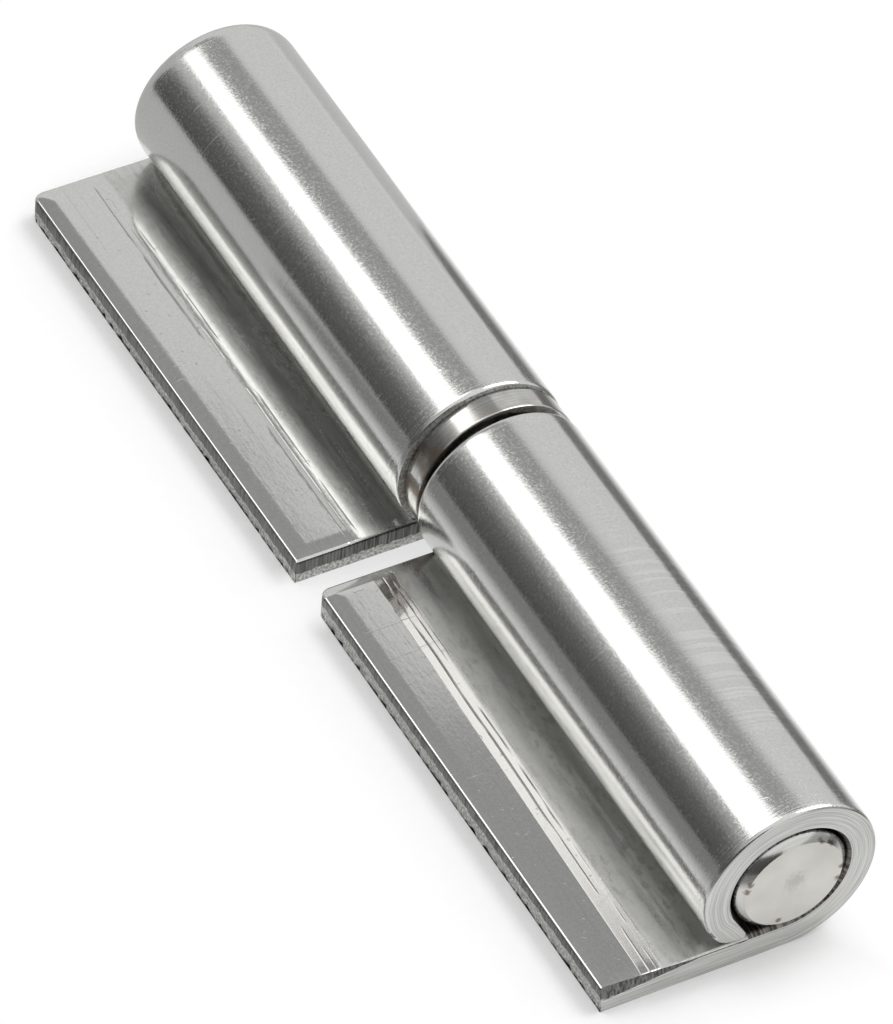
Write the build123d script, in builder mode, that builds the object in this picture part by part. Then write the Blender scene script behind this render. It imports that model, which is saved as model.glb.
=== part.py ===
from build123d import *
from math import cos, radians, sin
import os

os.makedirs("parts", exist_ok=True)

# Lift-off pin hinge: two rolled leaves, a pin fixed in the near one and a bearing washer.
# All sizes are millimetres. The pin runs along Y, the leaves' flats lie on z = 0.

# Leaf blanks and their rolled eyes
sheet_thickness = 3.0
eye_bore = 12.7
leaf_length = 57.9
leaf_reach = 20.0
leaf_gap = 4.2

# Free end of the roll: it leaves the round at this angle, counted from +X over the top
roll_end_angle = 205.0
tip_gap = 0.1
tip_width = 3.0
tip_inner_round = 0.6
tip_outer_round = 1.8

# Blanked edges
die_roll_width = 0.35
corner_radius = 1.2
break_height = 1.3
break_depth = 0.12
recess_height = 1.25
recess_depth = 0.5
recess_length = 11.0

# Rolled-over outer rims of the eyes, deepest at the top and fading out underneath
outer_rim_depth = 0.9
outer_rim_length = 1.7
small_rim_depth = 0.3
small_rim_length = 0.5

# Pin
running_clearance = 0.1
pin_proud = 0.7
pin_face_chamfer = 0.85
pin_face_chamfer_depth = 0.8
pin_end_recess = 6.0
pin_lead_chamfer = 1.5
pin_shoulder = 0.3
centre_mark_diameter = 1.6
centre_mark_depth = 0.25

# Bearing washer
washer_thickness = 2.75
washer_wall = 2.65
washer_edge = 0.35
washer_seat_gap = 0.05

# Places that follow from the sizes
bore_radius = eye_bore / 2
eye_radius = bore_radius + sheet_thickness
axis_x = (leaf_reach - eye_radius) / 2
axis_z = eye_radius
edge_x = axis_x - leaf_reach
gap_middle = pin_proud / 2
frame_far_y = gap_middle - leaf_gap / 2
frame_near_y = frame_far_y - leaf_length
door_near_y = gap_middle + leaf_gap / 2
door_far_y = door_near_y + leaf_length
pin_near_y = frame_near_y - pin_proud
pin_far_y = door_far_y - pin_end_recess
washer_far_y = door_near_y - washer_seat_gap
washer_near_y = washer_far_y - washer_thickness

# Free end of the roll, in the section: both sides run on straight to an end that lies level,
# and the outer side leans in a little where the sheet was pressed thinner
end_angle = radians(roll_end_angle)
outward = Vector(cos(end_angle), sin(end_angle))
along = Vector(-sin(end_angle), cos(end_angle))
outer_end = Vector(axis_x, axis_z) + outward * eye_radius
inner_end = Vector(axis_x, axis_z) + outward * bore_radius
tip_drop = sheet_thickness + tip_gap - inner_end.Y
tip_inner = inner_end + along * (tip_drop / along.Y)
tip_outer = tip_inner - Vector(tip_width, 0)


def eye_point(radius, angle):
    """Point of the section at an angle round the pin's axis."""
    return (axis_x + radius * cos(radians(angle)), axis_z + radius * sin(radians(angle)))


# Section of a leaf: the flat runs into the eye, which rolls up, over and down to its free end.
# Section planes look along +Y, so their normals point to -Y.
with BuildSketch(Plane.XZ) as leaf_section:
    with BuildLine():
        over_the_top = (roll_end_angle - 90) / 2
        Line((edge_x, sheet_thickness), (edge_x, 0))
        Line((edge_x, 0), (axis_x, 0))
        ThreePointArc((axis_x, 0), eye_point(eye_radius, over_the_top), outer_end)
        Line(outer_end, tip_outer)
        Line(tip_outer, tip_inner)
        Line(tip_inner, inner_end)
        ThreePointArc(inner_end, eye_point(bore_radius, over_the_top), (axis_x, sheet_thickness))
        Line((axis_x, sheet_thickness), (edge_x, sheet_thickness))
    make_face()
    fillet(leaf_section.vertices().sort_by_distance(tip_inner)[0], tip_inner_round)
    fillet(leaf_section.vertices().sort_by_distance(tip_outer)[0], tip_outer_round)


def blank_edges(leaf, near_y, far_y):
    """Round the far corner of the blank, break its upper edges and taper its torn lower edge."""
    corner = leaf.edges().filter_by(Axis.Z).sort_by_distance((edge_x, far_y, 0))[0]
    fillet(corner, corner_radius)
    flat_middle = (edge_x / 2, (near_y + far_y) / 2, sheet_thickness)
    upper_flat = leaf.faces().sort_by_distance(flat_middle)[0]
    rolled = upper_flat.edges().filter_by(lambda edge: edge.center().X < axis_x)
    chamfer(rolled, die_roll_width)
    long_edge = leaf.edges().filter_by(Axis.Y).sort_by_distance((edge_x, (near_y + far_y) / 2, 0))[0]
    side = leaf.faces().sort_by_distance((edge_x, (near_y + far_y) / 2, break_height / 2))[0]
    chamfer(long_edge, break_height, break_depth, reference=side)


def corner_recess(near_y):
    """Take a shallow slanting facet off the near outer corner, where the blank was rolled over."""
    low = Vector(edge_x, near_y, sheet_thickness - recess_height)
    back = Vector(edge_x, near_y + recess_depth, sheet_thickness)
    tail = Vector(edge_x + recess_length, near_y, sheet_thickness)
    facet = Plane(tail, x_dir=low - tail, z_dir=(back - tail).cross(low - tail))
    reach = 1.2
    with BuildSketch(facet) as triangle:
        with BuildLine():
            Polyline(
                (0, 0),
                facet.to_local_coords(tail + (low - tail) * reach),
                facet.to_local_coords(tail + (back - tail) * reach),
                close=True,
            )
        make_face()
    extrude(triangle.sketch, amount=recess_height, mode=Mode.SUBTRACT)


def rim_round(end_y, into_leaf, depth, length):
    """Round an eye's outer rim about a centre set lower, so that the round fades out below."""
    rim_radius = eye_radius + depth / 2
    centre_z = axis_z - depth / 2
    start = Plane((axis_x, end_y, centre_z), x_dir=(0, 0, -1), z_dir=(1, 0, 0))
    beyond = into_leaf * -length
    with BuildSketch(start) as rim:
        with BuildLine():
            EllipticalCenterArc(
                (rim_radius - depth, into_leaf * length),
                depth,
                length,
                start_angle=0 if into_leaf < 0 else -90,
                arc_size=90,
            )
            Polyline(
                (rim_radius, into_leaf * length),
                (rim_radius + depth / 10, into_leaf * length),
                (rim_radius + depth / 10, beyond),
                (rim_radius - depth, beyond),
                (rim_radius - depth, 0),
            )
        make_face()
    down = Axis((axis_x, end_y, centre_z), (0, -1, 0))
    revolve(rim.sketch, axis=down, revolution_arc=roll_end_angle + 90, mode=Mode.SUBTRACT)


# Frame leaf, the near one: its near end is ground flat down to a recess at the outer corner
with BuildPart() as frame_leaf:
    with BuildSketch(Plane.XZ.offset(-frame_far_y)):
        add(leaf_section.sketch)
    extrude(amount=leaf_length)
    blank_edges(frame_leaf, frame_near_y, frame_far_y)
    corner_recess(frame_near_y)
    rim_round(frame_far_y, -1, small_rim_depth, small_rim_length)
    rim_round(frame_near_y, 1, small_rim_depth, small_rim_length)
frame_leaf.part.label = "frame_leaf"
export_step(frame_leaf.part, "parts/frame_leaf.step")

# Door leaf, the far one: the same blank, free to turn on the pin and to be lifted off it
with BuildPart() as door_leaf:
    with BuildSketch(Plane.XZ.offset(-door_far_y)):
        add(leaf_section.sketch)
    extrude(amount=leaf_length)
    blank_edges(door_leaf, door_near_y, door_far_y)
    rim_round(door_far_y, -1, outer_rim_depth, outer_rim_length)
    rim_round(door_near_y, 1, small_rim_depth, small_rim_length)
door_leaf.part.label = "door_leaf"
export_step(door_leaf.part, "parts/door_leaf.step")

# Pin: it fills the frame leaf's eye and runs with clearance in the washer and the door leaf
with BuildPart() as pin:
    pin_axis_plane = Plane((axis_x, 0, axis_z), x_dir=(1, 0, 0), z_dir=(0, 0, 1))
    running_radius = bore_radius - running_clearance
    with BuildSketch(pin_axis_plane):
        with BuildLine():
            Polyline(
                (0, pin_near_y + centre_mark_depth),
                (centre_mark_diameter / 2, pin_near_y),
                (bore_radius - pin_face_chamfer, pin_near_y),
                (bore_radius, pin_near_y + pin_face_chamfer_depth),
                (bore_radius, frame_far_y - pin_shoulder),
                (running_radius, frame_far_y),
                (running_radius, pin_far_y - pin_lead_chamfer),
                (running_radius - pin_lead_chamfer, pin_far_y),
                (0, pin_far_y),
                close=True,
            )
        make_face()
    revolve(axis=Axis((axis_x, 0, axis_z), (0, 1, 0)))
pin.part.label = "pin"
export_step(pin.part, "parts/pin.step")

# Bearing washer: a plain ring that carries the door leaf, drawn against the door leaf's eye
with BuildPart() as washer:
    with BuildSketch(Plane((axis_x, washer_far_y, axis_z), x_dir=(1, 0, 0), z_dir=(0, -1, 0))):
        Circle(bore_radius + washer_wall)
        Circle(bore_radius, mode=Mode.SUBTRACT)
    extrude(amount=washer_thickness)
    outer_rims = washer.edges().filter_by(GeomType.CIRCLE).sort_by(SortBy.RADIUS)[-2:]
    chamfer(outer_rims, washer_edge)
washer.part.label = "washer"
export_step(washer.part, "parts/washer.step")
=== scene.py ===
import bmesh
import bpy
from math import atan2, cos, degrees, hypot, radians, sin, sqrt, tan
from mathutils import Euler, Matrix, Vector
from mathutils.noise import turbulence


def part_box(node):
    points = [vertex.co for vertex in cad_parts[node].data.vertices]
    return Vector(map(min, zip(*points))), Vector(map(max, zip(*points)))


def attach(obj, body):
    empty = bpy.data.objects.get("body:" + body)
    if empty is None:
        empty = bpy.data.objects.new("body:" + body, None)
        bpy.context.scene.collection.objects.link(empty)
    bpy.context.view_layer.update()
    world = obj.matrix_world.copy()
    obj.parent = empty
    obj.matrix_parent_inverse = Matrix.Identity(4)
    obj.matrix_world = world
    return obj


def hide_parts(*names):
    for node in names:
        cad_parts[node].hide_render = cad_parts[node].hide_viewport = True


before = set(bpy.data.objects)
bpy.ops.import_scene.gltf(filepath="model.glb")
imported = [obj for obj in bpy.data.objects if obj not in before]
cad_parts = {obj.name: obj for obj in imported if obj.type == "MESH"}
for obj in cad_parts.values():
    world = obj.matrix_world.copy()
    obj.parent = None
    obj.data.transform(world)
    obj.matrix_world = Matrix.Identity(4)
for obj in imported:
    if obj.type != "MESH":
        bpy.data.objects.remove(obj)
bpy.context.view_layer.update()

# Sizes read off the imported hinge, in metres
mm = 0.001
leaf_low, leaf_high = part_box("frame_leaf")
door_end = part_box("door_leaf")[1].y
washer_low, washer_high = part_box("washer")
pin_low, pin_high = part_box("pin")
eye_outer = leaf_high.z / 2
axis_x = leaf_high.x - eye_outer
axis_z = eye_outer
bore = (pin_high.x - pin_low.x) / 2
sheet = eye_outer - bore
edge_x = leaf_low.x
flat_run = axis_x - edge_x
middle_radius = bore + sheet / 2
touching = 1e-6

# Free end of the roll: its angle counted from +X over the top, and the size of its tip
roll_end = 205
tip_gap = 0.1 * mm
tip_width = 3 * mm
tip_inner_round = 0.94 * mm
tip_outer_round = 1.02 * mm

# Edges of the blank
corner_round = 1.2 * mm
facet_depth = 1.25 * mm
facet_back = 0.5 * mm
facet_length = 11 * mm

# Upper edges of the flats, rolled over steeply beside the edge and gently farther in
steep_width = 0.28 * mm
steep_depth = 0.3 * mm
gentle_width = 2.1 * mm
gentle_depth = 0.14 * mm

# Torn metal at the bottom of the long edges: its height, how far it is set back on the whole and
# how much more or less from place to place
torn_height = 1.4 * mm
torn_depth = 0.1 * mm
torn_swing = 0.25 * mm
torn_fineness = 1100
torn_step = 0.4 * mm

# How far the door leaf's long edge stands out past the frame leaf's: in its middle, and how much
# more or less at its ends
door_stands_out = 0.45 * mm
door_slant = 0.2 * mm

# Rims of the eyes: depth and length of their rounds, what the near eye's left side has more, and
# the countersink of the bores
small_rim = (0.3 * mm, 0.5 * mm)
large_rim = (0.9 * mm, 1.7 * mm)
left_rim_more = 0.1 * mm
countersink_depth = 0.3 * mm
countersink_length = 0.45 * mm

# Stretch of the flat under the eye that takes the bore's dark colour, painted shade under the eye,
# and the stretch before it in which the rolled-over edge turns into the countersink
under_eye_stretch = 4 * mm
rim_change = 1 * mm

# Pin and washer
pin_clearance = 0.1 * mm
pin_slim_length = 14.2 * mm
pin_shoulder = 0.3 * mm
pin_lead_chamfer = 1.5 * mm
washer_clearance = 0.55 * mm
washer_edge = 0.15 * mm
washer_hang = (0.42 * mm, 0, -0.33 * mm)

# Steps in a full turn, in the roll of a leaf and in a rounded corner
turn_steps = 144
roll_steps = 118
corner_steps = 8

# Studio, with the border between dark and grey paper in millimetres across and along
board_distance = 2.2
paper_height = 0.4 * mm
paper_border = ((25, 46), (900, 660))


# Camera
def place_camera():
    lens = bpy.data.cameras.new("camera")
    lens.sensor_fit = "VERTICAL"
    lens.sensor_height = 36
    lens.lens = 311.78
    lens.clip_end = 20
    camera = bpy.data.objects.new("camera", lens)
    camera.location = (-323.365 * mm, -520.848 * mm, 632.958 * mm)
    camera.rotation_euler = Euler((radians(44.24585), radians(-3.53361), radians(-28.24949)))
    bpy.context.scene.collection.objects.link(camera)
    bpy.context.scene.camera = camera


# Short ways to write nodes
def add_node(tree, kind, values=None, **settings):
    node = tree.nodes.new(kind)
    for name, value in settings.items():
        setattr(node, name, value)
    for name, value in (values or {}).items():
        if isinstance(value, bpy.types.NodeSocket):
            tree.links.new(value, node.inputs[name])
        else:
            node.inputs[name].default_value = value
    return node


def math_node(tree, operation, first, second=0.0):
    return add_node(tree, "ShaderNodeMath", {0: first, 1: second}, operation=operation).outputs[0]


def plus(tree, first, second):
    return math_node(tree, "ADD", first, second)


def minus(tree, first, second):
    return math_node(tree, "SUBTRACT", first, second)


def times(tree, first, second):
    return math_node(tree, "MULTIPLY", first, second)


def larger(tree, first, second):
    return math_node(tree, "MAXIMUM", first, second)


def between(tree, value, low, high, to_low=0.0, to_high=1.0):
    """Carry a value from one range to another and hold it inside the new range."""
    values = {"Value": value, "From Min": low, "From Max": high}
    values.update({"To Min": to_low, "To Max": to_high})
    return add_node(tree, "ShaderNodeMapRange", values).outputs["Result"]


def either(tree, share, first, second):
    """Carry a share from none to one over to a range of values."""
    return between(tree, share, 0, 1, first, second)


def blend_colours(tree, share, first, second):
    node = add_node(tree, "ShaderNodeMix", data_type="RGBA", clamp_factor=True)
    for place, value in ((0, share), (6, first), (7, second)):
        socket = node.inputs[place]
        if isinstance(value, bpy.types.NodeSocket):
            tree.links.new(value, socket)
        else:
            socket.default_value = value
    return node.outputs[2]


def blend_over(tree, value, low, high, first, second):
    """Go from one colour to the other while a value crosses a range."""
    return blend_colours(tree, between(tree, value, low, high), first, second)


def noise(tree, place, scale, detail=2.0, roughness=0.5, stretch=(1, 1, 1)):
    mapped = add_node(tree, "ShaderNodeMapping", {"Vector": place, "Scale": stretch}).outputs[0]
    values = {"Vector": mapped, "Scale": scale, "Detail": detail, "Roughness": roughness}
    return add_node(tree, "ShaderNodeTexNoise", values).outputs["Fac"]


def blank_noise(tree, sheet_place, stretch, detail=3.0, roughness=0.6):
    """Noise laid on the flat blank, with its own fineness along the roll, the pin and the depth."""
    return noise(tree, sheet_place, 1, detail, roughness, stretch)


def bump(tree, height, distance, strength=1.0, under=None):
    values = {"Height": height, "Distance": distance, "Strength": strength}
    if under is not None:
        values["Normal"] = under
    return add_node(tree, "ShaderNodeBump", values).outputs["Normal"]


def new_material(name):
    material = bpy.data.materials.new(name)
    material.use_nodes = True
    tree = material.node_tree
    tree.nodes.clear()
    output = tree.nodes.new("ShaderNodeOutputMaterial")
    return material, tree, output


def steel(name, paint):
    """Bare metal whose colour, roughness and normal come from the given function."""
    material, tree, output = new_material(name)
    shader = add_node(tree, "ShaderNodeBsdfPrincipled", {"Metallic": 1.0})
    object_place = tree.nodes.new("ShaderNodeTexCoord").outputs["Object"]
    attribute = add_node(tree, "ShaderNodeAttribute", attribute_name="sheet_place")
    sheet_place = attribute.outputs["Vector"]
    colour, roughness, normal = paint(tree, object_place, sheet_place)
    tree.links.new(colour, shader.inputs["Base Color"])
    tree.links.new(roughness, shader.inputs["Roughness"])
    tree.links.new(normal, shader.inputs["Normal"])
    tree.links.new(shader.outputs[0], output.inputs["Surface"])
    return material


# Finishes
def paint_skin(tree, place, sheet_place):
    """Bright rolled sheet: grainy eyes, and flats that were pressed and dulled beside them; the
    flats also carry painted shade beside the eyes and a band painted darker over the eyes' mirrored
    highlight.
    """
    along = add_node(tree, "ShaderNodeSeparateXYZ", {"Vector": sheet_place}).outputs
    flat = between(tree, along["X"], 19 * mm, 22 * mm, 1, 0)
    rolled = minus(tree, 1.0, flat)
    on_frame = between(tree, along["Y"], -3 * mm, -2 * mm, 1, 0)
    on_top = between(tree, along["Z"], 1 * mm, 2 * mm)
    grain = noise(tree, place, 4400, 3.0, 0.65)
    mottle = noise(tree, place, 3900, 3.0, 0.65)
    drawn = blank_noise(tree, sheet_place, (2800, 60, 100))
    clouds = blank_noise(tree, sheet_place, (500, 80, 100))
    crumbs = blank_noise(tree, sheet_place, (1600, 800, 100))
    scores = scored_side(tree, sheet_place, along)
    arcs = between(tree, blank_noise(tree, sheet_place, (25, 6500, 50), 1.0, 0.5), 0.5, 0.62)
    arcs = times(tree, arcs, brushed_ends(tree, along["Y"], flat))

    # Pressed step on the frame leaf's flat, which starts farther in towards the far end. The band
    # beside it is painted darker: painted shade that dims the eye's highlight mirrored there
    step_start = between(tree, along["Y"], leaf_low.y, leaf_high.y, 4.4 * mm, 5.6 * mm)
    past_start = minus(tree, along["X"], step_start)
    pressed = times(tree, between(tree, past_start, 0, 2.3 * mm, 1, 0), on_frame)
    step_band_and_dimmed_reflection = times(tree, between(tree, past_start, 0, 0.07 * mm), on_frame)
    step_band_and_dimmed_reflection = times(tree, step_band_and_dimmed_reflection, between(tree, past_start, 1.9 * mm, 2.6 * mm, 0.7, 0))

    # Part between the step and the eye: a dull finish, and painted shade where the flat lies beside
    # the eye
    toward_eye = between(tree, past_start, 1.85 * mm, 2.7 * mm)
    dulling_unevenness = between(tree, drawn, 0.3, 0.7, 0.7, 1)
    dulling_unevenness = times(tree, dulling_unevenness, between(tree, clouds, 0.3, 0.7, 0.5, 1))
    dull_and_shaded = times(tree, dulling_unevenness, times(tree, on_top, times(tree, flat, toward_eye)))
    depth_of_dull = between(tree, along["Y"], -8 * mm, 4 * mm, 0.5, 0.27)

    # Colour
    marks = times(tree, between(tree, drawn, 0.58, 0.72), times(tree, flat, 0.22))
    dull_and_shaded_patches = between(tree, crumbs, 0.5, 0.62)
    dull_and_shaded_patches = times(tree, dull_and_shaded_patches, between(tree, clouds, 0.4, 0.6, 0.2, 1))
    dull_and_shaded_patches = times(tree, dull_and_shaded_patches, times(tree, dull_and_shaded, 0.75))
    # The part beside the eye and its patches are painted darker: partly a dull finish, partly
    # painted shade
    colour = blend_colours(tree, dull_and_shaded, (0.64, 0.64, 0.62, 1), (0.58, 0.58, 0.555, 1))
    for share, other in (
        (between(tree, mottle, 0.35, 0.65, 0.45, 0), (0.5, 0.5, 0.485, 1)),
        (marks, (0.36, 0.355, 0.34, 1)),
        (dull_and_shaded_patches, (0.33, 0.325, 0.31, 1)),
        # Band beside the step: painted shade over the eye's mirrored highlight
        (step_band_and_dimmed_reflection, (0.46, 0.445, 0.435, 1)),
        (times(tree, scores, 0.3), (0.8, 0.8, 0.78, 1)),
    ):
        colour = blend_colours(tree, share, colour, other)

    # Roughness
    clearest = either(tree, flat, 0.12, 0.07)
    haziest = either(tree, flat, 0.26, 0.09)
    roughness = between(tree, mottle, 0.48, 0.68, clearest, haziest)
    roughness = plus(tree, roughness, times(tree, dull_and_shaded, depth_of_dull))
    roughness = plus(tree, roughness, times(tree, arcs, 0.16))

    # Relief
    uneven = times(tree, flat, between(tree, step_band_and_dimmed_reflection, 0, 0.7, 1, 0.2))
    lines = blank_noise(tree, sheet_place, (60, 3000, 200))
    scratches = blank_noise(tree, sheet_place, (45, 1500, 50), 1.0, 0.5)
    scratches = between(tree, scratches, 0.71, 0.74)
    pits = between(tree, noise(tree, place, 1500, 0.0), 0.8, 0.84)
    slant = times(tree, minus(tree, step_start, 5 * mm), on_frame)
    grooves = tool_grooves(tree, sheet_place, along, slant)
    normal = bump(tree, noise(tree, place, 70, 1.0), 0.03 * mm, 0.6)
    for height, most in (
        (times(tree, lines, rolled), 0.0015),
        (times(tree, drawn, uneven), 0.0014),
        (times(tree, crumbs, uneven), 0.003),
        (minus(tree, 1.0, grooves), 0.006),
        (times(tree, pressed, pressed), 0.1),
        (plus(tree, scratches, pits), 0.004),
        (arcs, 0.002),
        (scores, 0.004),
        (times(tree, grain, rolled), 0.0065),
    ):
        normal = bump(tree, height, most * mm, 1.0, normal)
    return colour, roughness, normal


def tool_grooves(tree, sheet_place, along, slant):
    """Broken grooves that the rolling tool left along the pin, set over by the given slant."""
    wander = blank_noise(tree, sheet_place, (20, 90, 20), 2.0, 0.5)
    wander = between(tree, wander, 0.3, 0.7, -0.07 * mm, 0.07 * mm)
    across = plus(tree, minus(tree, along["X"], slant), wander)
    grooves = 0.0
    for middle, half_width in ((7.3, 0.13), (6.75, 0.1), (6.0, 0.14)):
        away = math_node(tree, "ABSOLUTE", minus(tree, across, middle * mm))
        grooves = plus(tree, grooves, between(tree, away, 0, half_width * mm, 1, 0))
    kept = blank_noise(tree, sheet_place, (900, 130, 20), 1.0, 0.5)
    return times(tree, grooves, between(tree, kept, 0.42, 0.58))


def scored_side(tree, sheet_place, along):
    """Share of fine scores round the near eye, on its side away from the free end."""
    scores = blank_noise(tree, sheet_place, (30, 1300, 50), 1.0, 0.5)
    scores = between(tree, scores, 0.55, 0.61)
    for value, none, whole in (
        (along["X"], 35 * mm, 37 * mm),
        (along["X"], 45 * mm, 43 * mm),
        (along["Y"], -52 * mm, -46 * mm),
        (along["Y"], -12 * mm, -18 * mm),
    ):
        scores = times(tree, scores, between(tree, value, none, whole))
    return scores


def brushed_ends(tree, along_pin, flat):
    """Share of brushing: strong beside the eyes' rims, none in the middle of a barrel."""
    on_door = between(tree, along_pin, washer_low.y - 0.2 * mm, washer_low.y)
    on_frame = minus(tree, 1.0, on_door)
    most = between(tree, along_pin, door_end - 3.5 * mm, door_end - 1.5 * mm)
    for on_leaf, inner, outer in (
        (on_frame, leaf_low.y + 3 * mm, leaf_low.y + 0.5 * mm),
        (on_frame, leaf_high.y - 2.5 * mm, leaf_high.y - 0.5 * mm),
        (on_door, washer_high.y + 3.5 * mm, washer_high.y + 0.5 * mm),
    ):
        most = larger(tree, most, times(tree, between(tree, along_pin, inner, outer), on_leaf))
    return times(tree, most, minus(tree, 1.0, flat))


def paint_ground_end(tree, place, sheet_place):
    """Ground end of the sheet: fine lines that follow the curl."""
    lines = blank_noise(tree, sheet_place, (110, 400, 9500), 2.0, 0.65)
    broad = blank_noise(tree, sheet_place, (30, 100, 1100), 1.0, 0.5)
    colour = blend_over(tree, lines, 0.36, 0.6, (0.40, 0.40, 0.385, 1), (0.66, 0.66, 0.64, 1))
    roughness = between(tree, broad, 0.3, 0.7, 0.34, 0.46)
    normal = bump(tree, lines, 0.02 * mm, 0.5)
    return colour, roughness, normal


def paint_sheared_edge(tree, place, sheet_place):
    """Sheared edge: upright streaks on top, painted dark, partly the metal's own tone and partly
    painted shade; torn and lighter metal below a ragged line.
    """
    along = add_node(tree, "ShaderNodeSeparateXYZ", {"Vector": sheet_place}).outputs
    ragged = noise(tree, place, 900, 3.0, 0.6, stretch=(1, 1, 0.2))
    ragged = between(tree, ragged, 0.3, 0.7, -0.22 * mm, 0.22 * mm)
    tear_height = between(tree, along["Y"], -1 * mm, 1 * mm, 2.0 * mm, 1.4 * mm)
    above_tear = minus(tree, plus(tree, along["Z"], ragged), tear_height)
    torn = between(tree, above_tear, 0.06 * mm, -0.06 * mm)
    streaks = blank_noise(tree, sheet_place, (4600, 4600, 160))
    crumbs = noise(tree, place, 3200, 4.0, 0.7)
    # The upper part is painted nearly black: painted shade on the end faces, the facet and the long
    # edges, over the streaks' own tone
    dark, light = (0.05, 0.05, 0.047, 1), (0.2, 0.2, 0.19, 1)
    streaks_and_painted_shade = blend_over(tree, streaks, 0.35, 0.65, dark, light)
    dark, light = (0.22, 0.22, 0.21, 1), (0.75, 0.75, 0.72, 1)
    torn_part = blend_over(tree, crumbs, 0.35, 0.65, dark, light)
    colour = blend_colours(tree, torn, streaks_and_painted_shade, torn_part)
    roughness = either(tree, torn, 0.3, 0.55)
    height = plus(tree, times(tree, streaks, 0.25), times(tree, crumbs, torn))
    normal = bump(tree, height, 0.06 * mm, 0.8)
    return colour, roughness, normal


def paint_bore(tree, place, sheet_place):
    """Inside of the eye and the flat under it: dull and painted dark, partly stain and partly
    painted shade of the hollow, scored across by the roll.
    """
    stain = noise(tree, place, 500, 3.0, 0.6)
    scores = blank_noise(tree, sheet_place, (3300, 120, 120), 2.0, 0.6)
    # Both colours are much darker than the bright sheet: painted shade in the hollow, with brown
    # stain patches over it; the scores are painted nearly black
    colour = blend_over(tree, stain, 0.35, 0.7, (0.36, 0.35, 0.33, 1), (0.22, 0.20, 0.18, 1))
    colour = blend_over(tree, scores, 0.4, 0.6, colour, (0.07, 0.065, 0.06, 1))
    roughness = between(tree, stain, 0.3, 0.7, 0.35, 0.5)
    normal = bump(tree, scores, 0.03 * mm, 0.6)
    return colour, roughness, normal


def spots(tree, place, centres, radius):
    """Share of small round spots, given in millimetres across and above the pin's axis."""
    most = 0.0
    ragged = noise(tree, place, 2800, 2.0)
    ragged = between(tree, ragged, 0.3, 0.7, -0.3 * radius, 0.3 * radius)
    for across, above in centres:
        centre = (axis_x + across * mm, pin_low.y + 0.15 * mm, axis_z + above * mm)
        measure = add_node(
            tree, "ShaderNodeVectorMath", {0: place, 1: centre}, operation="DISTANCE"
        )
        distance = plus(tree, measure.outputs["Value"], ragged)
        most = larger(tree, most, between(tree, distance, 0.35 * radius, radius, 1, 0))
    return most


rust = (0.17, 0.11, 0.075, 1)
rust_specks = (
    (-4.86, 1.96),
    (-5.2, 1.1),
    (2.55, 4.77),
    (3.7, 4.05),
    (4.0, 4.0),
    (5.2, 0.13),
    (4.9, -1.42),
    (-1.32, -4.6),
)


def paint_pin_face(tree, place, sheet_place):
    """Satin turned face of the pin: a faint smudge in the middle, rust specks by the rim."""
    grain = noise(tree, place, 2600, 3.0, 0.6)
    clouds = noise(tree, place, 300, 3.0)
    smudge = times(tree, spots(tree, place, ((0.05, 0.25),), 1.5 * mm), 0.3)
    colour = blend_over(tree, clouds, 0.3, 0.7, (0.66, 0.65, 0.61, 1), (0.61, 0.60, 0.56, 1))
    colour = blend_colours(tree, smudge, colour, (0.26, 0.26, 0.24, 1))
    rusty = times(tree, spots(tree, place, rust_specks, 0.42 * mm), 0.8)
    colour = blend_colours(tree, rusty, colour, rust)
    roughness = between(tree, clouds, 0.3, 0.7, 0.42, 0.52)
    normal = bump(tree, grain, 0.004 * mm, 0.5)
    return colour, roughness, normal


def paint_turned_bar(tree, place, sheet_place):
    """Turned bar: fine rings round the axis, and rust specks on its near chamfer."""
    rings = noise(tree, place, 1, 3.0, 0.6, stretch=(60, 4200, 60))
    colour = blend_over(tree, rings, 0.35, 0.65, (0.52, 0.52, 0.50, 1), (0.62, 0.62, 0.60, 1))
    rusty = times(tree, spots(tree, place, rust_specks, 0.5 * mm), 0.8)
    colour = blend_colours(tree, rusty, colour, rust)
    roughness = between(tree, rings, 0.3, 0.7, 0.15, 0.2)
    normal = bump(tree, rings, 0.001 * mm, 0.6)
    return colour, roughness, normal


def paint_washer(tree, place, sheet_place):
    """Turned ring with faint brown stains."""
    rings = noise(tree, place, 1, 3.0, 0.6, stretch=(60, 4200, 60))
    across = add_node(tree, "ShaderNodeSeparateXYZ", {"Vector": place}).outputs["X"]
    on_left = between(tree, across, axis_x - 6.2 * mm, axis_x - 4.6 * mm, 1, 0.35)
    stain = between(tree, noise(tree, place, 330, 3.0, 0.55), 0.38, 0.56)
    stain = times(tree, stain, on_left)
    bright = blend_over(tree, rings, 0.35, 0.65, (0.50, 0.50, 0.48, 1), (0.60, 0.60, 0.58, 1))
    colour = blend_colours(tree, stain, bright, (0.30, 0.25, 0.205, 1))
    roughness = either(tree, stain, 0.12, 0.3)
    normal = bump(tree, rings, 0.002 * mm, 0.6)
    return colour, roughness, normal


skin = steel("bright_sheet", paint_skin)
ground_end = steel("ground_end", paint_ground_end)
sheared_edge = steel("sheared_edge", paint_sheared_edge)
bore_skin = steel("bore_skin", paint_bore)
pin_face = steel("satin_pin_face", paint_pin_face)
turned_bar = steel("turned_bar", paint_turned_bar)
turned_washer = steel("stained_washer", paint_washer)


# Short ways to model
sharp_bend = radians(32)


def everything(mesh):
    return mesh.verts[:] + mesh.edges[:] + mesh.faces[:]


def kind_in(parts, kind):
    return [part for part in parts if isinstance(part, kind)]


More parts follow.
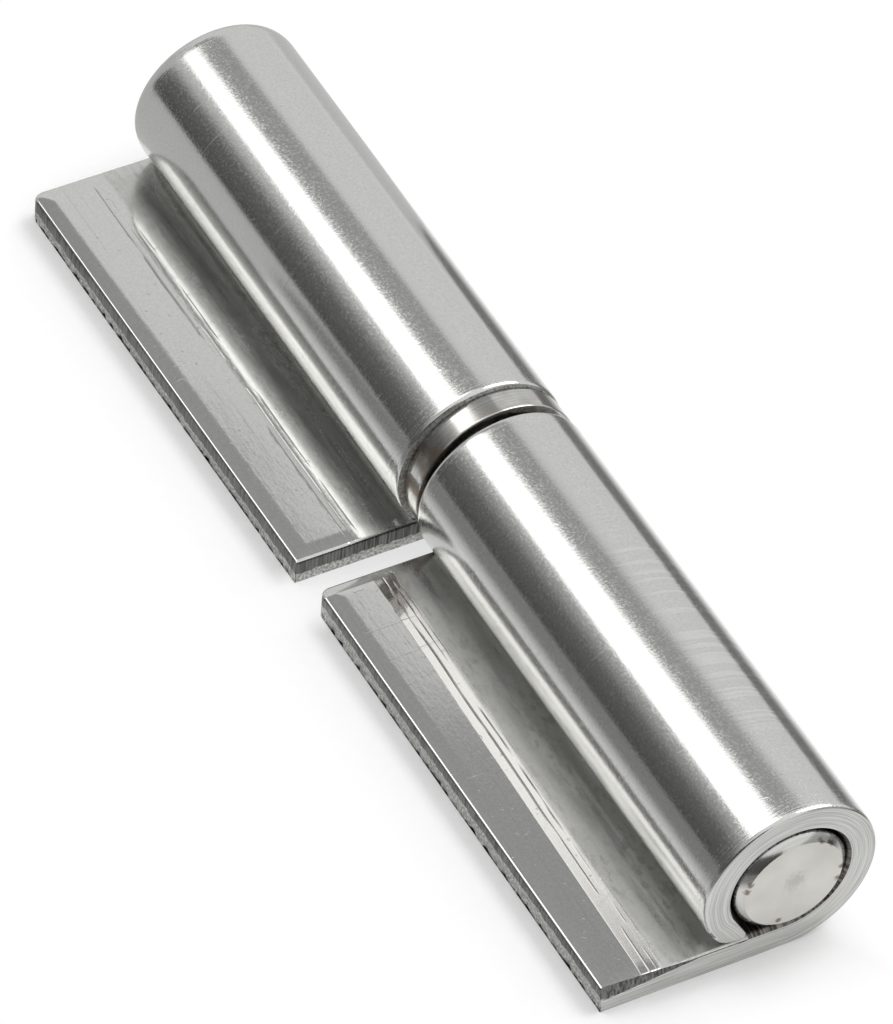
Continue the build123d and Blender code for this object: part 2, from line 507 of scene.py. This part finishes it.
def cut(mesh, point, direction, parts=None):
    """Draw a plane's line on the mesh, or on some parts of it, without taking anything off."""
    parts = parts or everything(mesh)
    bmesh.ops.bisect_plane(mesh, geom=parts, dist=1e-7, plane_co=point, plane_no=direction)


def finished_piece(mesh, name, node, body, materials):
    """Mark the mesh's sharp edges and hand it over as the piece that stands for a CAD node."""
    for edge in mesh.edges:
        bend = edge.calc_face_angle(0)
        materials_meet = len({face.material_index for face in edge.link_faces}) > 1
        edge.smooth = bend < sharp_bend and not materials_meet
    for face in mesh.faces:
        face.smooth = True
    data = bpy.data.meshes.new(name)
    mesh.to_mesh(data)
    mesh.free()
    for material in materials:
        data.materials.append(material)
    piece = bpy.data.objects.new(name, data)
    bpy.context.scene.collection.objects.link(piece)
    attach(piece, body)
    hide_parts(node)
    return piece


def bevel(mesh, edges, offset):
    bmesh.ops.bevel(
        mesh,
        geom=edges,
        offset=offset,
        offset_type="OFFSET",
        segments=corner_steps,
        profile=0.5,
        affect="EDGES",
        material=-1,
    )


# Rolled leaves
def roll_blank(near, far):
    """Bend the sheet round the pin: the flat, the eye over the top, and the free end."""
    mesh = bmesh.new()
    place = (
        Matrix.Translation((edge_x, (near + far) / 2, sheet / 2))
        @ Matrix.Rotation(radians(90), 4, "Y")
        @ Matrix.Diagonal((sheet, far - near, 1, 1))
    )
    bmesh.ops.create_grid(mesh, x_segments=1, y_segments=1, size=0.5, matrix=place)
    flat = bmesh.ops.extrude_face_region(mesh, geom=mesh.faces[:])["geom"]
    bmesh.ops.translate(mesh, verts=kind_in(flat, bmesh.types.BMVert), vec=(flat_run, 0, 0))
    eye = bmesh.ops.spin(
        mesh,
        geom=flat,
        cent=(axis_x, 0, axis_z),
        axis=(0, -1, 0),
        angle=radians(roll_end + 90),
        steps=roll_steps,
        use_merge=False,
    )["geom_last"]
    end_face = kind_in(eye, bmesh.types.BMFace)
    lip = bmesh.ops.extrude_face_region(mesh, geom=end_face)["geom"]
    lip_points = kind_in(lip, bmesh.types.BMVert)
    inner_points = [v for v in lip_points if around_axis(v.co)[0] < middle_radius]
    outer_points = [v for v in lip_points if v not in inner_points]
    end = radians(roll_end)
    along = Vector((-sin(end), 0, cos(end)))
    tip_height = sheet + tip_gap
    for v in inner_points:
        v.co += along * ((tip_height - v.co.z) / along.z)
    tip_x = inner_points[0].co.x - tip_width
    for v in outer_points:
        v.co = (tip_x, v.co.y, tip_height)
    for points, offset in ((inner_points, tip_inner_round), (outer_points, tip_outer_round)):
        corner = [e for e in mesh.edges if all(v in points for v in e.verts)]
        bevel(mesh, corner, offset)
    return mesh


def around_axis(point):
    """Distance from the pin's axis, and the angle round it from -90 degrees at the flat."""
    across = point.x - axis_x
    up = point.z - axis_z
    angle = degrees(atan2(up, across))
    return hypot(across, up), angle if angle > -100 else angle + 360


def where_in_sheet(point):
    """Place of a point in the flat blank: length along the roll, length along the pin, depth."""
    if point.x < axis_x and point.z < sheet + 0.01 * mm:
        return Vector((point.x - edge_x, point.y, point.z))
    distance, angle = around_axis(point)
    beyond = 0.0
    if angle >= roll_end:
        angle = roll_end
        end = radians(roll_end)
        beyond = max(0.0, (point.x - axis_x) * -sin(end) + (point.z - axis_z) * cos(end))
    along_roll = flat_run + radians(angle + 90) * middle_radius + beyond
    return Vector((along_roll, point.y, eye_outer - distance))


def steps_in(length, count):
    """Distances from an edge, close together beside it."""
    return [length * (1 - cos(radians(90 * step / count))) for step in range(1, count + 1)]


def parts_of(faces):
    """The faces with all their edges and corners."""
    return list({e for f in faces for e in f.edges} | {v for f in faces for v in f.verts}) + faces


def flat_parts(mesh):
    limit_x, limit_z = axis_x - 0.1 * mm, sheet + touching
    middles = [(f, f.calc_center_median()) for f in mesh.faces]
    return parts_of([f for f, middle in middles if middle.x < limit_x and middle.z < limit_z])


def side_parts(mesh):
    return parts_of([f for f in mesh.faces if f.calc_center_median().x < edge_x + touching])


def roll_corner_over(mesh, near):
    """Slanting facet at the near outer corner, running out along the near end."""
    low = Vector((edge_x, near, sheet - facet_depth))
    back = Vector((edge_x, near + facet_back, sheet))
    tail = Vector((edge_x + facet_length, near, sheet))
    facet = bmesh.ops.bisect_plane(
        mesh,
        geom=flat_parts(mesh),
        dist=1e-7,
        plane_co=tail,
        plane_no=(back - tail).cross(low - tail).normalized(),
        clear_outer=True,
    )
    rim = kind_in(facet["geom_cut"], bmesh.types.BMEdge)
    bmesh.ops.contextual_create(mesh, geom=rim)
    bmesh.ops.recalc_face_normals(mesh, faces=mesh.faces[:])


def draw_edge_lines(mesh, near, far):
    """Give the leaf the close lines beside its edges that the rounds and torn edges need."""
    close_steps = steps_in(0.32 * mm, 5)
    wide_steps = steps_in(1.8 * mm, 9)[3:]
    edge_steps = close_steps + wide_steps + [gentle_width]
    under_eye = flat_run - under_eye_stretch
    for distance in edge_steps:
        cut(mesh, (0, near + distance, 0), (0, 1, 0))
        cut(mesh, (0, far - distance, 0), (0, 1, 0))
    for distance in edge_steps + [facet_length, under_eye, under_eye - rim_change]:
        cut(mesh, (edge_x + distance, 0, 0), (1, 0, 0), flat_parts(mesh))
    for height in (torn_height / 2, torn_height):
        cut(mesh, (0, 0, height), (0, 0, 1), side_parts(mesh))
    for step in range(1, round((far - near) / torn_step)):
        cut(mesh, (0, near + step * torn_step, 0), (0, 1, 0), side_parts(mesh))


def rolled_leaf(name, node, body, ground_near_end):
    low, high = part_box(node)
    near, far = low.y, high.y
    mesh = roll_blank(near, far)
    bmesh.ops.recalc_face_normals(mesh, faces=mesh.faces[:])
    round_corner = [
        edge
        for edge in mesh.edges
        if all(
            abs(v.co.x - edge_x) < touching and abs(v.co.y - far) < touching for v in edge.verts
        )
    ]
    bevel(mesh, round_corner, corner_round)
    if ground_near_end:
        roll_corner_over(mesh, near)
    draw_edge_lines(mesh, near, far)
    place_layer = mesh.verts.layers.float_vector.new("sheet_place")
    for v in mesh.verts:
        v[place_layer] = where_in_sheet(v.co)
    for v in mesh.verts:
        press_edges(v, near, far, ground_near_end)
    mesh.normal_update()
    for face in mesh.faces:
        face.material_index = leaf_finish(face, (near + far) / 2, ground_near_end)
    finishes = [skin, ground_end, sheared_edge, bore_skin]
    return finished_piece(mesh, name, node, body, finishes)


def leaf_finish(face, halfway, ground_near_end):
    """Number of a face's finish: 0 skin, 1 ground end, 2 sheared edge, 3 inside of the bore."""
    middle = face.calc_center_median()
    on_flat = middle.x < axis_x and middle.z < sheet + 0.05 * mm
    on_ground_half = ground_near_end and middle.y < halfway
    # The facet, the end faces off the ground half and the long edges take the dark sheared finish
    # with its painted shade
    if on_ground_half and on_flat and 0.2 < face.normal.z < 0.6:
        return 2
    if abs(face.normal.y) > 0.9:
        return 1 if on_ground_half else 2
    if middle.x < edge_x + corner_round and face.normal.z ** 2 < 0.2:
        return 2
    if not on_flat and around_axis(middle)[0] < middle_radius:
        return 3
    # The flat under the eye takes the bore's dark colour: painted shade under the eye
    if on_flat and middle.x > axis_x - under_eye_stretch and middle.z > sheet / 2:
        return 3
    return 0


def share_left(distance, reach):
    """One at no distance, falling evenly to none at the reach and beyond it."""
    return max(0.0, 1 - distance / reach)


def press_edges(v, near, far, ground_near_end):
    """Move a point of the leaf as the press, the rolling tool and the shears left it."""
    distance, angle = around_axis(v.co)
    from_end = min(v.co.y - near, far - v.co.y)
    if v.co.x < axis_x - touching and v.co.z < sheet + touching:
        if v.co.z > sheet / 2:
            roll_edge_down(v, near, far, from_end)
        tear_lower_edge(v, from_end)
        if not ground_near_end:
            from_middle = (2 * v.co.y - near - far) / (far - near)
            stands_out = door_stands_out + door_slant * from_middle
            v.co.x -= stands_out * (axis_x - v.co.x) / flat_run
    else:
        outward = Vector(((v.co.x - axis_x) / distance, 0, (v.co.z - axis_z) / distance))
        outer_share = min(1.0, max(0.0, (distance - bore) / sheet - 0.5) / 0.35)
        if outer_share > 0:
            pressed = rim_press(v.co.y - near, far - v.co.y, angle, ground_near_end)
            v.co -= outward * pressed * outer_share
        if distance < bore + 0.1 * mm and angle < roll_end:
            v.co += outward * countersink_depth * share_left(from_end, countersink_length)


def rim_press(from_near, from_far, angle, ground_near_end):
    """Depth of the rounds on the eye's outer rims: deepest on top and fading out underneath."""
    top = (1 + sin(radians(min(angle, roll_end)))) / 2
    left = min(1.0, max(0.0, (angle - 110) / 60)) if ground_near_end else 0.0
    near_depth, near_length = small_rim
    far_depth, far_length = small_rim if ground_near_end else large_rim
    pressed = 0.0
    for depth, length, gap, reach in (
        (near_depth + left_rim_more * left, near_length, from_near, max(top, left)),
        (far_depth, far_length, from_far, top),
    ):
        share = share_left(gap, length)
        pressed += depth * reach * (1 - sqrt(max(0.0, 1 - share ** 2)))
    return pressed


def roll_edge_down(v, near, far, from_end):
    """Round the upper edge of the flat: steeply beside the edge, gently farther in."""
    gap = min(v.co.x - edge_x, from_end)
    corner = Vector((edge_x + corner_round, far - corner_round))
    if v.co.x < corner.x and v.co.y > corner.y:
        gap = corner_round - (Vector((v.co.x, v.co.y)) - corner).length
    gap = max(0.0, gap)
    steep = 1 - sqrt(1 - share_left(gap, steep_width) ** 2)
    gentle = share_left(gap, gentle_width) ** 2
    drop = steep_depth * steep + gentle_depth * gentle
    rim = countersink_depth * share_left(from_end, countersink_length)
    under_eye = min(1.0, max(0.0, 1 + (v.co.x - axis_x + under_eye_stretch) / rim_change))
    v.co.z -= drop + (rim - drop) * under_eye


def tear_lower_edge(v, from_end):
    """Set the torn metal at the bottom of the long edge back unevenly, most at the very bottom."""
    if abs(v.co.x - edge_x) < touching and v.co.z < torn_height:
        ragged = turbulence(v.co * torn_fineness, 3, False) * min(1.0, from_end / mm)
        set_back = max(0.0, torn_depth + torn_swing * ragged)
        v.co.x += set_back * share_left(v.co.z, torn_height)


# Pin and washer
def spun_ring(outline):
    """Spin an outline, given as distance along the pin and radius, once round the pin's axis."""
    mesh = bmesh.new()
    points = [mesh.verts.new((axis_x, along, axis_z + radius)) for along, radius in outline]
    edges = [mesh.edges.new(pair) for pair in zip(points, points[1:])]
    bmesh.ops.spin(
        mesh,
        geom=points + edges,
        cent=(axis_x, 0, axis_z),
        axis=(0, 1, 0),
        angle=radians(360),
        steps=turn_steps,
        use_merge=True,
    )
    bmesh.ops.remove_doubles(mesh, verts=mesh.verts[:], dist=0.0005 * mm)
    bmesh.ops.recalc_face_normals(mesh, faces=mesh.faces[:])
    return mesh


def turned_pin():
    """Pin: a slimmer faced end, then full size in the frame leaf and a running fit beyond it."""
    near, far = pin_low.y, pin_high.y
    leaf_far = leaf_high.y
    running = bore - pin_clearance
    near_end = (
        (0.2, 0),
        (0.16, 0.4),
        (0.12, 0.9),
        (0.12, 5.2),
        (0.15, 5.3),
        (0.22, 5.38),
        (0.8, 5.98),
        (1.0, 6.06),
        (14, 6.08),
    )
    mesh = spun_ring(
        [(near + along * mm, radius * mm) for along, radius in near_end]
        + [
            (near + pin_slim_length, bore),
            (leaf_far - pin_shoulder, bore),
            (leaf_far, running),
            (far - pin_lead_chamfer, running),
            (far, running - pin_lead_chamfer),
            (far, 0),
        ]
    )
    for face in mesh.faces:
        face.material_index = 1 if face.normal.y < -0.85 else 0
    return finished_piece(mesh, "turned_pin", "pin", "frame", [turned_bar, pin_face])


def turned_ring():
    """Bearing washer: loose on the pin, so it hangs down on the floor and a little aside."""
    near, far = washer_low.y, washer_high.y
    outer = (washer_high.x - washer_low.x) / 2
    inner = bore + washer_clearance
    edge = washer_edge
    outline = [
        (near, inner),
        (near, outer - edge),
        (near + edge * 0.3, outer - edge * 0.3),
        (near + edge, outer),
        (near + 1.5 * edge, outer),
        (far - 1.5 * edge, outer),
        (far - edge, outer),
        (far - edge * 0.3, outer - edge * 0.3),
        (far, outer - edge),
        (far, inner),
        (near, inner),
    ]
    mesh = spun_ring(outline)
    bmesh.ops.translate(mesh, verts=mesh.verts[:], vec=washer_hang)
    return finished_piece(mesh, "bearing_washer", "washer", "ring", [turned_washer])


# Floor, boards and light
def studio_board(mesh, name, low, high, level_low, level_high, axis="Z"):
    """Board that only the metal sees, with its own grey at each end of one axis."""
    data = bpy.data.meshes.new(name)
    mesh.to_mesh(data)
    mesh.free()
    material, tree, output = new_material(name)
    place = tree.nodes.new("ShaderNodeTexCoord").outputs["Object"]
    along = add_node(tree, "ShaderNodeSeparateXYZ", {"Vector": place}).outputs[axis]
    level = between(tree, along, low, high, level_low, level_high)
    glow = add_node(tree, "ShaderNodeEmission", {"Strength": level})
    tree.links.new(glow.outputs[0], output.inputs["Surface"])
    data.materials.append(material)
    piece = bpy.data.objects.new(name, data)
    bpy.context.scene.collection.objects.link(piece)
    piece.visible_camera = False
    piece.visible_diffuse = False
    piece.visible_shadow = False


def turned(azimuth):
    """Turn from +Y towards +X by an azimuth in degrees."""
    return Matrix.Rotation(radians(-azimuth), 3, "Z")


def curved_board(name, azimuths, elevations, level_low, level_high, distance=board_distance):
    """Board that stands in an arc round the hinge. Azimuths are counted from +Y towards +X."""
    mesh = bmesh.new()
    heights = [distance * tan(radians(elevation)) for elevation in elevations]
    ends = [mesh.verts.new((0, distance, height)) for height in heights]
    mesh.edges.new(ends)
    bmesh.ops.rotate(mesh, verts=ends, cent=(0, 0, 0), matrix=turned(azimuths[0]))
    bmesh.ops.spin(
        mesh,
        geom=mesh.verts[:] + mesh.edges[:],
        cent=(0, 0, 0),
        axis=(0, 0, -1),
        angle=radians(azimuths[1] - azimuths[0]),
        steps=max(2, round((azimuths[1] - azimuths[0]) / 5)),
        use_merge=False,
    )
    studio_board(mesh, name, heights[0], heights[1], level_low, level_high)


def back_wall():
    """Upright board behind the hinge on the right, its upper edge cut at a slant on the left."""
    mesh = bmesh.new()
    foot = 0.05
    corners = (
        (-0.33, foot),
        (2.5, foot),
        (2.5, 1.03),
        (0.31, 1.045),
        (0.26, 0.95),
        (-0.33, 0.42),
    )
    points = [mesh.verts.new((across, 0.9, height)) for across, height in corners]
    mesh.faces.new(points)
    bmesh.ops.rotate(mesh, verts=points, cent=(0, 0, 0), matrix=turned(12))
    studio_board(mesh, "back_wall", foot, 1.0, 0.83, 0.88)


def lie_on_floor(corners, side):
    """Sheet of paper beside the hinge, its corners in millimetres across and along."""
    mesh = bmesh.new()
    places = [(axis_x + side * across * mm, along * mm, paper_height) for across, along in corners]
    mesh.faces.new([mesh.verts.new(place) for place in places])
    return mesh


def dark_flag(name, side, level_near, level_far):
    """Dark paper laid on the floor beside the hinge, cut back at a slant behind it."""
    mesh = lie_on_floor(((25, -900), *paper_border, (900, -900)), side)
    near, far = (axis_x + side * across * mm for across in (25, 46))
    if side < 0:
        near, far, level_near, level_far = far, near, level_far, level_near
    studio_board(mesh, name, near, far, level_near, level_far, axis="X")


def grey_paper(name, side, level):
    """Greyer paper on the floor behind the hinge, beyond the slant of the dark paper."""
    mesh = lie_on_floor(((0, 75), *paper_border, (900, 1500), (0, 1500)), side)
    studio_board(mesh, name, 0, 1, level, level)


def seen_directly(tree):
    """One for what the camera or the metal sees, none for light that falls on the paper."""
    rays = tree.nodes.new("ShaderNodeLightPath").outputs
    seen = larger(tree, rays["Is Camera Ray"], rays["Is Glossy Ray"])
    return larger(tree, seen, rays["Is Transmission Ray"])


def floor_material():
    """White paper that takes shadows close to the hinge and shines evenly farther out; painted
    light also fills the shade on the right of the hinge and between the leaves.
    """
    material, tree, output = new_material("white_paper")
    place = tree.nodes.new("ShaderNodeTexCoord").outputs["Object"]
    parts = add_node(tree, "ShaderNodeSeparateXYZ", {"Vector": place}).outputs
    on_left = minus(tree, edge_x, parts["X"])
    # On the right the paper glows from under the eye outwards: painted light over the hinge's
    # shadow there
    on_right = times(tree, minus(tree, parts["X"], 9 * mm), 2.5)
    from_middle = math_node(tree, "ABSOLUTE", parts["Y"])
    beyond = times(tree, minus(tree, from_middle, door_end), 1.6)
    outside = larger(tree, larger(tree, on_left, on_right), beyond)
    # Between the leaves the paper glows too: painted light over the shade in the gap
    painted_light_in_gap = between(tree, from_middle, 2.5 * mm, 5 * mm, 0.65, 0)
    away = larger(tree, between(tree, outside, 1 * mm, 12 * mm), painted_light_in_gap)
    fibres = noise(tree, place, 900, 2.0)
    paper = blend_over(tree, fibres, 0.3, 0.7, (0.985, 0.985, 0.985, 1), (1, 1, 1, 1))
    lit = add_node(tree, "ShaderNodeBsdfDiffuse", {"Color": paper})
    glow = add_node(tree, "ShaderNodeEmission", {"Color": (1, 1, 1, 1), "Strength": 1.0})
    share = times(tree, away, seen_directly(tree))
    layers = {0: share, 1: lit.outputs[0], 2: glow.outputs[0]}
    mixed = add_node(tree, "ShaderNodeMixShader", layers)
    tree.links.new(mixed.outputs[0], output.inputs["Surface"])
    return material


def lay_floor():
    mesh = bmesh.new()
    bmesh.ops.create_grid(mesh, x_segments=8, y_segments=8, size=4)
    data = bpy.data.meshes.new("floor")
    mesh.to_mesh(data)
    mesh.free()
    data.materials.append(floor_material())
    floor = bpy.data.objects.new("floor", data)
    bpy.context.scene.collection.objects.link(floor)


def light_world():
    world = bpy.data.worlds.new("studio")
    bpy.context.scene.world = world
    world.use_nodes = True
    tree = world.node_tree
    tree.nodes.clear()
    output = tree.nodes.new("ShaderNodeOutputWorld")
    level = either(tree, seen_directly(tree), 0.7, 1.0)
    white = {"Color": (1, 1, 1, 1), "Strength": level}
    background = add_node(tree, "ShaderNodeBackground", white)
    tree.links.new(background.outputs[0], output.inputs["Surface"])


def hang_lamp(light, azimuth, elevation, distance, roll=0, shift=Vector((0, 0, 0))):
    """Hang an area light that faces the hinge, rolled and then shifted in its own plane."""
    azimuth, elevation = radians(azimuth), radians(elevation)
    across = cos(elevation)
    towards = Vector((sin(azimuth) * across, cos(azimuth) * across, sin(elevation)))
    turn = towards.to_track_quat("Z", "Y").to_matrix().to_4x4()
    turn = turn @ Matrix.Rotation(radians(roll), 4, "Z")
    lamp = bpy.data.objects.new(light.name, light)
    lamp.matrix_world = Matrix.Translation(towards * distance) @ turn @ Matrix.Translation(shift)
    bpy.context.scene.collection.objects.link(lamp)


def hang_softbox():
    """Tilted softbox behind the hinge on the left, which draws the long highlight on the eyes."""
    light = bpy.data.lights.new("softbox", "AREA")
    light.shape = "RECTANGLE"
    light.size = 0.88
    light.size_y = 1.15
    light.energy = 5.34
    light.diffuse_factor = 0
    shift = Vector((0.29, 0.28, 0))
    hang_lamp(light, azimuth=-24, elevation=48, distance=1.8, roll=31, shift=shift)


def hang_side_light():
    """Soft light from the right that only the paper takes, for a short shadow on the left."""
    light = bpy.data.lights.new("side_light", "AREA")
    light.shape = "SQUARE"
    light.size = 1.4
    light.energy = 20
    light.specular_factor = 0
    hang_lamp(light, azimuth=85, elevation=48, distance=2.2)


bpy.context.scene.view_settings.view_transform = "Standard"
place_camera()
lay_floor()
light_world()
hang_softbox()
hang_side_light()
back_wall()
curved_board("ceiling", (-12, 80), (36, 62), 0.38, 0.5)
curved_board("left_wall", (-120, -41), (-3, 24), 0.08, 0.16)
curved_board("left_upper_wall", (-120, -41), (24, 41), 0.16, 0.58)
curved_board("left_ceiling", (-120, -41), (41, 62), 0.58, 0.7)
curved_board("near_left_wall", (-178, -120), (-3, 35), 0.08, 0.1)
curved_board("near_right_wall", (100, 150), (-3, 28), 0.42, 0.5)
curved_board("far_left_wall", (-41, 12), (-3, 41), 0.55, 0.7, distance=2.6)
dark_flag("left_flag", -1, 0.85, 0.28)
dark_flag("right_flag", 1, 0.85, 0.22)
grey_paper("left_paper", -1, 0.62)
grey_paper("right_paper", 1, 0.66)

rolled_leaf("frame_rolled_leaf", "frame_leaf", "frame", True)
rolled_leaf("door_rolled_leaf", "door_leaf", "door", False)
turned_pin()
turned_ring()
